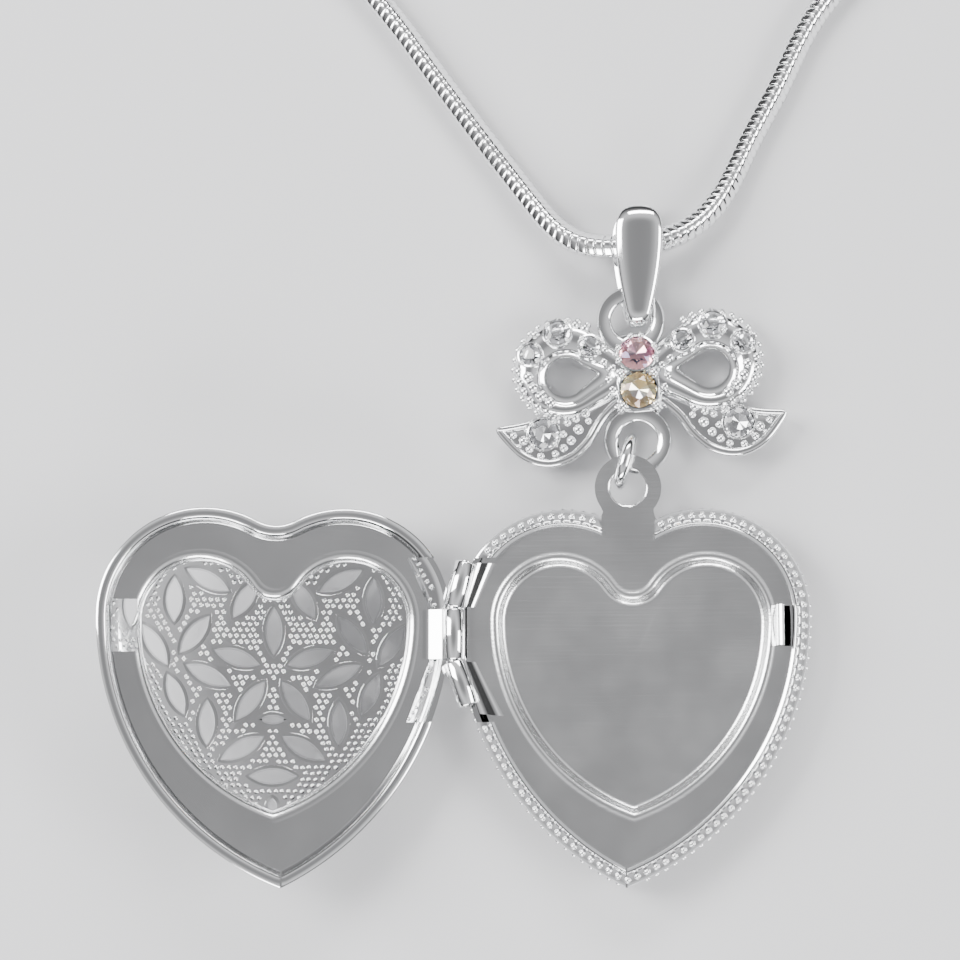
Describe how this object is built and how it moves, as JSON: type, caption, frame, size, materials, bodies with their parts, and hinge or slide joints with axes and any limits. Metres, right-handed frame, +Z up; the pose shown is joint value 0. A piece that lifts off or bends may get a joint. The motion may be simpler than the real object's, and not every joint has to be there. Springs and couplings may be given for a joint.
{
  "type": "heart locket necklace",
  "caption": "Heart-shaped silver-tone locket lying open, with a pierced filigree cover, a crystal-set bow, a bail and a snake chain.",
  "frame": {"origin": "middle of the flat land on the crown of the back half, where the locket lies on its back", "axes": "+Z up out of the open back half; +Y from the heart's point towards the bail and chain; +X away from the hinge"},
  "size_m": [0.0708, 0.1021, 0.0081],
  "materials": {
    "polished_silver": "bright rhodium-plated, mirror polish",
    "satin_silver": "satin plated, fine wiping scratches",
    "chain_silver": "bright plated snake chain",
    "spring_steel": "bare spring wire",
    "clear_crystal": "clear cut crystal, foiled back",
    "aurora_crystal": "cut crystal with an iridescent coating, peach to yellow"
  },
  "bodies": {
    "chain": {"left_chain": "chain_silver", "left_chain_coil": "chain_silver", "left_end_cap": "polished_silver", "right_chain": "chain_silver", "right_chain_coil": "chain_silver", "right_end_cap": "polished_silver"},
    "bail": {"bail": "polished_silver"},
    "bow": {"bow_frame": "polished_silver", "upper_centre_stone": "aurora_crystal", "lower_centre_stone": "aurora_crystal", "left_loop_top_stone": "clear_crystal", "left_loop_side_stone": "clear_crystal", "left_loop_inner_stone": "clear_crystal", "right_loop_top_stone": "clear_crystal", "right_loop_side_stone": "clear_crystal", "right_loop_inner_stone": "clear_crystal", "left_tail_stone": "clear_crystal", "right_tail_stone": "clear_crystal"},
    "jump_ring": {"jump_ring": "polished_silver"},
    "back_half": {"back_shell": "polished_silver", "back_plate": "satin_silver", "hinge_pin": "polished_silver"},
    "front_half": {"front_shell": "polished_silver", "front_frame": "satin_silver"},
    "end_ring": {"end_ring": "polished_silver"},
    "clasp_ring": {"clasp_ring": "polished_silver"},
    "clasp": {"clasp_body": "polished_silver", "clasp_rivet": "polished_silver", "clasp_spring": "spring_steel"},
    "clasp_lever": {"clasp_lever": "polished_silver"}
  },
  "joints": [
    {"name": "bail_swing", "type": "hinge", "parent": "chain", "child": "bail", "pos_m": [0.0005, 0.0329, 0.00215], "axis": [1, 0, 0], "range_deg": [-80, 80]},
    {"name": "bow_swing", "type": "hinge", "parent": "bail", "child": "bow", "pos_m": [0.0005, 0.0267, 0.00193], "axis": [0, 0, 1], "range_deg": [-20, 20]},
    {"name": "jump_ring_swing", "type": "hinge", "parent": "bow", "child": "jump_ring", "pos_m": [0.00003, 0.01788, 0.00193], "axis": [0, 0, 1], "range_deg": [-12, 12]},
    {"name": "locket_swing", "type": "hinge", "parent": "jump_ring", "child": "back_half", "pos_m": [-0.00093, 0.01454, 0.0028], "axis": [0, 0, 1], "range_deg": [-15, 15]},
    {"name": "locket_hinge", "type": "hinge", "parent": "back_half", "child": "front_half", "pos_m": [-0.01335, 0.00315, 0.0036], "axis": [0, 1, 0], "range_deg": [0, 170]},
    {"name": "end_ring_fold", "type": "hinge", "parent": "chain", "child": "end_ring", "pos_m": [-0.01319, 0.07113, 0.0009], "axis": [-0.9986, 0.0523, 0], "range_deg": [0, 80]},
    {"name": "clasp_ring_fold", "type": "hinge", "parent": "chain", "child": "clasp_ring", "pos_m": [0.01119, 0.07113, 0.0009], "axis": [-0.9986, -0.0523, 0], "range_deg": [0, 60]},
    {"name": "clasp_fold", "type": "hinge", "parent": "clasp_ring", "child": "clasp", "pos_m": [0.01297, 0.06952, 0.0009], "axis": [0.0523, -0.9986, 0], "range_deg": [0, 25]},
    {"name": "clasp_trigger", "type": "hinge", "parent": "clasp", "child": "clasp_lever", "pos_m": [0.01568, 0.07142, 0.0012], "axis": [0, 0, -1], "range_deg": [0, 16], "stiffness_Nm_per_rad": 0.0004, "springref_deg": -8.59}
  ]
}
